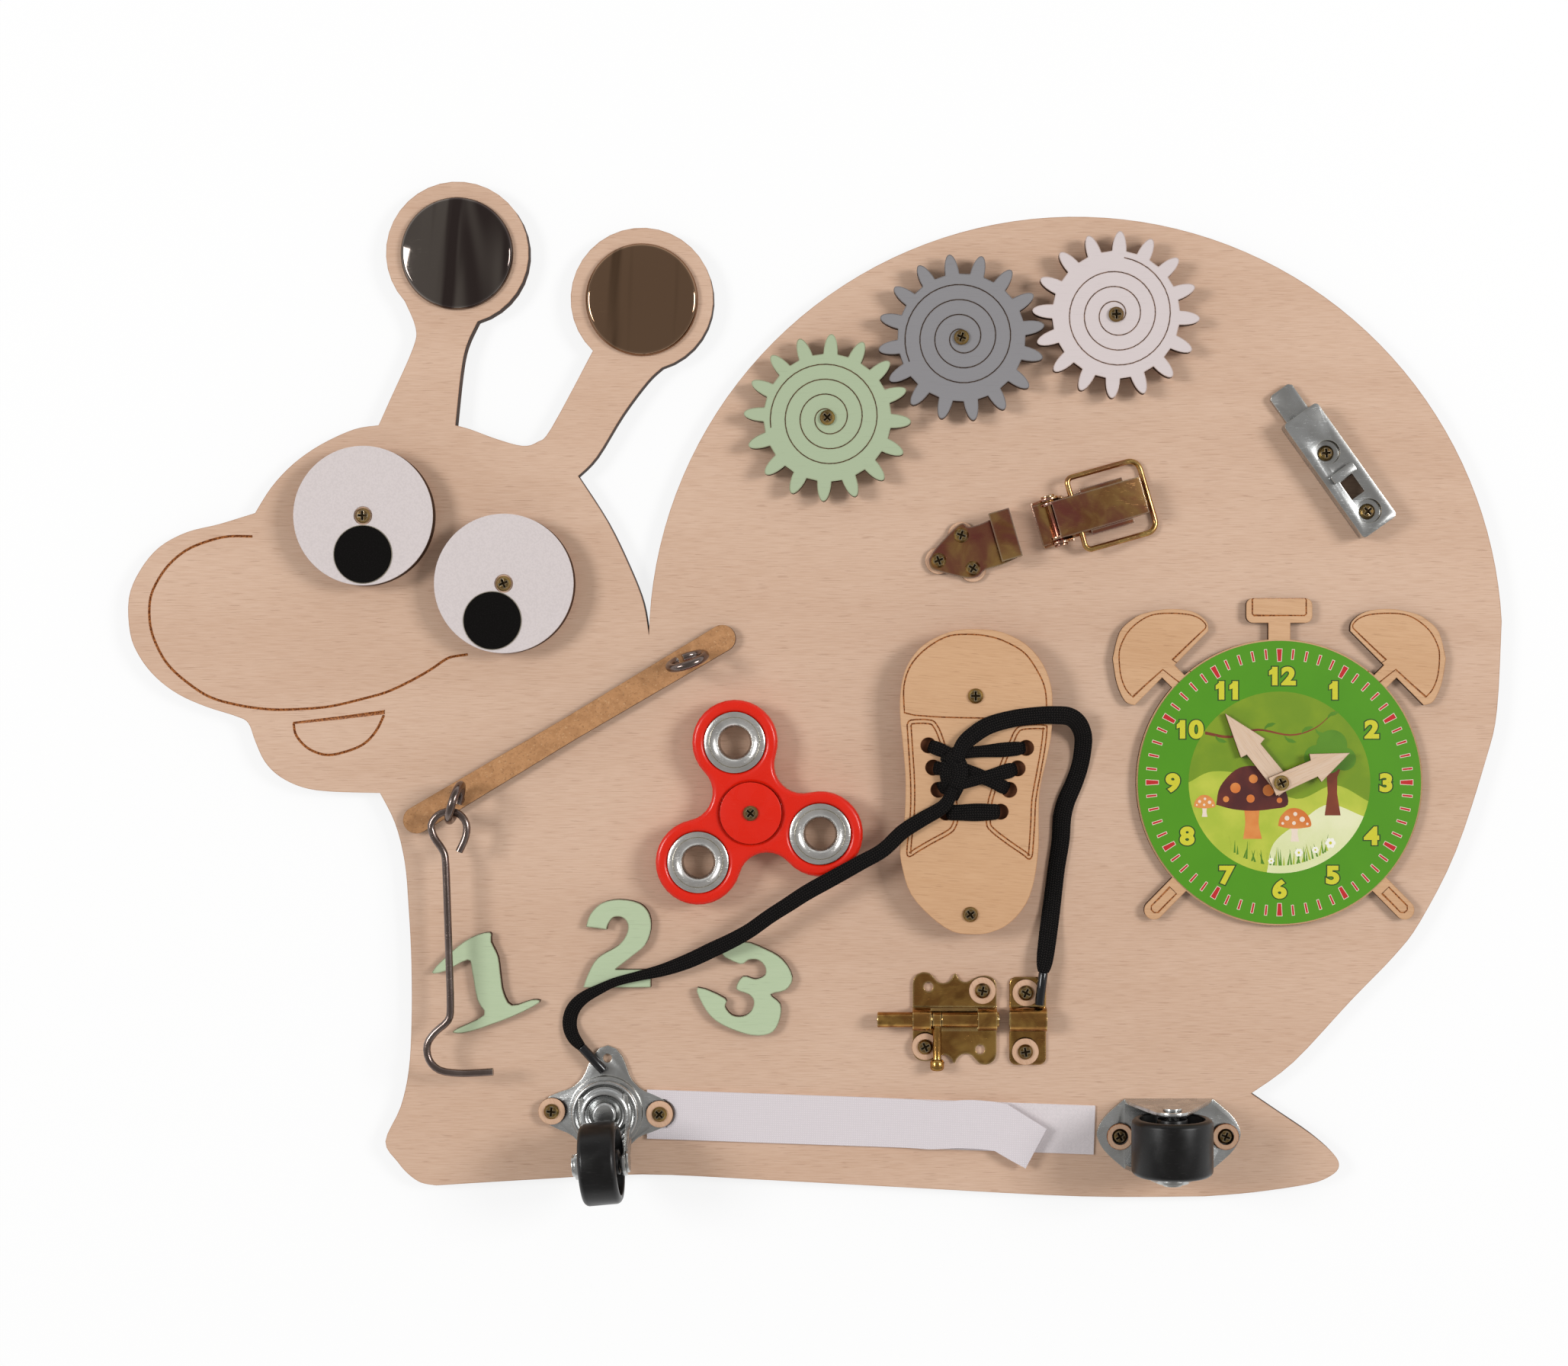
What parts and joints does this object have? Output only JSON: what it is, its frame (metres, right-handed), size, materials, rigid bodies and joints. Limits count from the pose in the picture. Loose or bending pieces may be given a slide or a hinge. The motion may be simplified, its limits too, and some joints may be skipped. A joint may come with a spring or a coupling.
{
  "type": "wooden busy board",
  "caption": "Snail-shaped plywood busy board with turning gears, eyes, spinner and clock hands, a hook, latch, bolts, castors, figures, tape and a shoe to lace.",
  "frame": {"origin": "on the board's flat back, near the middle of its outline", "axes": "+Z out of the board's face, +X towards the tail, +Y towards the antennas"},
  "size_m": [0.5006, 0.3699, 0.0465],
  "materials": {
    "birch_ply": "raw birch plywood with burnt laser-cut edges",
    "mirror": "acrylic mirror, bevelled",
    "mint_ply": "plywood stained mint",
    "grey_ply": "plywood painted grey",
    "green_ply": "plywood stained green",
    "white_ply": "plywood painted white",
    "hardboard": "raw hardboard",
    "white_leatherette": "matte leatherette",
    "black_velvet": "flocked",
    "printed_dial": "printed card",
    "zinc_wire": "yellow zinc plated wire",
    "yellow_zinc": "iridescent yellow zinc plate",
    "blue_zinc": "bright zinc plate",
    "polished_steel": "polished",
    "brass_plate": "brass plated steel",
    "screw_zinc": "yellow zinc plated screw",
    "red_plastic": "gloss",
    "black_plastic": "satin",
    "black_lace": "flat braid",
    "clear_plastic": "translucent tube",
    "white_tape": "hook and loop tape"
  },
  "bodies": {
    "board": {"board_panel": "birch_ply", "mirrors": "mirror", "stick_bar": "hardboard", "screw_eye_left": "zinc_wire", "screw_eye_right": "zinc_wire", "number_one": "mint_ply", "number_two": "mint_ply", "number_three": "mint_ply", "clock_case": "birch_ply", "clock_dial": "printed_dial", "shoe_plate": "birch_ply", "shoe_spacers": "birch_ply", "lace_crossings": "black_lace", "lace_left_tail": "black_lace", "lace_right_tail": "black_lace", "aglet_left": "clear_plastic", "aglet_right": "clear_plastic", "pivot_spacers": "birch_ply", "pivot_screws": "screw_zinc", "spinner_caps": "red_plastic", "bearing_inner_race": "polished_steel", "slide_bolt_case": "blue_zinc", "catch_plate": "yellow_zinc", "catch_spacers": "birch_ply", "latch_base": "yellow_zinc", "latch_pin": "yellow_zinc", "barrel_bolt_plate": "brass_plate", "barrel_bolt_strike": "brass_plate", "ply_washers": "birch_ply", "mounting_screws": "screw_zinc", "hook_tape": "white_tape", "loop_tape": "white_tape", "castor_left_plate": "blue_zinc", "castor_right_bracket": "blue_zinc", "castor_right_axle": "polished_steel"},
    "green_gear": {"gear_green": "green_ply"},
    "grey_gear": {"gear_grey": "grey_ply"},
    "white_gear": {"gear_white": "white_ply"},
    "left_eye": {"eye_left_disc": "birch_ply", "eye_left_facing": "white_leatherette", "eye_left_pupil": "black_velvet"},
    "right_eye": {"eye_right_disc": "birch_ply", "eye_right_facing": "white_leatherette", "eye_right_pupil": "black_velvet"},
    "spinner": {"spinner_body": "red_plastic", "spinner_weights": "polished_steel", "bearing_outer": "polished_steel"},
    "minute_hand": {"clock_minute_hand": "birch_ply"},
    "hour_hand": {"clock_hour_hand": "birch_ply"},
    "bolt_rod": {"barrel_bolt_rod": "brass_plate"},
    "bolt_knob": {"barrel_bolt_knob": "brass_plate"},
    "slide_bar": {"slide_bolt_bar": "yellow_zinc"},
    "lever": {"latch_lever": "yellow_zinc"},
    "bail": {"latch_bail": "zinc_wire"},
    "fork": {"castor_fork": "blue_zinc", "castor_left_axle": "polished_steel"},
    "left_wheel": {"castor_left_wheel": "black_plastic"},
    "right_wheel": {"castor_right_wheel": "black_plastic"},
    "wire_hook": {"hook": "zinc_wire"}
  },
  "joints": [
    {"name": "gear_green_spin", "type": "hinge", "parent": "board", "child": "green_gear", "pos_m": [0.0048, 0.098, 0.0112], "axis": [0, 0, 1], "continuous": true},
    {"name": "gear_grey_spin", "type": "hinge", "parent": "board", "child": "grey_gear", "pos_m": [0.05328, 0.12701, 0.0112], "axis": [0, 0, 1], "continuous": true},
    {"name": "gear_white_spin", "type": "hinge", "parent": "board", "child": "white_gear", "pos_m": [0.10917, 0.13527, 0.0112], "axis": [0, 0, 1], "continuous": true},
    {"name": "eye_left_spin", "type": "hinge", "parent": "board", "child": "left_eye", "pos_m": [-0.1628, 0.0625, 0.0117], "axis": [0, 0, 1], "continuous": true},
    {"name": "eye_right_spin", "type": "hinge", "parent": "board", "child": "right_eye", "pos_m": [-0.112, 0.038, 0.0117], "axis": [0, 0, 1], "continuous": true},
    {"name": "spinner_spin", "type": "hinge", "parent": "board", "child": "spinner", "pos_m": [-0.0227, -0.0448, 0.0125], "axis": [0, 0, 1], "continuous": true},
    {"name": "minute_hand_turn", "type": "hinge", "parent": "board", "child": "minute_hand", "pos_m": [0.1688, -0.034, 0.0106], "axis": [0, 0, 1], "continuous": true},
    {"name": "hour_hand_turn", "type": "hinge", "parent": "board", "child": "hour_hand", "pos_m": [0.1688, -0.034, 0.0128], "axis": [0, 0, 1], "continuous": true},
    {"name": "barrel_bolt_slide", "type": "slide", "parent": "board", "child": "bolt_rod", "axis": [1, 0, 0], "range_m": [0, 0.013]},
    {"name": "barrel_knob_turn", "type": "hinge", "parent": "bolt_rod", "child": "bolt_knob", "pos_m": [0.0445, -0.12, 0.0104], "axis": [-1, 0, 0], "range_deg": [0, 80]},
    {"name": "slide_bolt_slide", "type": "slide", "parent": "board", "child": "slide_bar", "axis": [0.5807, -0.8141, 0], "range_m": [0, 0.0085]},
    {"name": "latch_lever_swing", "type": "hinge", "parent": "board", "child": "lever", "pos_m": [0.087, 0.06075, 0.012], "axis": [0.279, -0.9603, 0], "range_deg": [0, 130]},
    {"name": "latch_bail_swing", "type": "hinge", "parent": "lever", "child": "bail", "pos_m": [0.09487, 0.06304, 0.012], "axis": [-0.279, 0.9603, 0], "range_deg": [-165, 0]},
    {"name": "castor_swivel", "type": "hinge", "parent": "board", "child": "fork", "pos_m": [-0.0759, -0.154, 0.011], "axis": [0, 0, 1], "continuous": true},
    {"name": "castor_left_roll", "type": "hinge", "parent": "fork", "child": "left_wheel", "pos_m": [-0.07468, -0.16795, 0.032], "axis": [0.9962, 0.0872, 0], "continuous": true},
    {"name": "castor_right_roll", "type": "hinge", "parent": "board", "child": "right_wheel", "pos_m": [0.1275, -0.162, 0.032], "axis": [0, 1, 0], "continuous": true},
    {"name": "hook_swing", "type": "hinge", "parent": "board", "child": "wire_hook", "pos_m": [-0.1309, -0.0473, 0.0175], "axis": [0, 0, 1], "range_deg": [-60, 50]}
  ],
  "couplings": [
    {"joint": "gear_grey_spin", "follows": "gear_green_spin", "ratio": -1},
    {"joint": "gear_white_spin", "follows": "gear_green_spin", "ratio": 1}
  ]
}
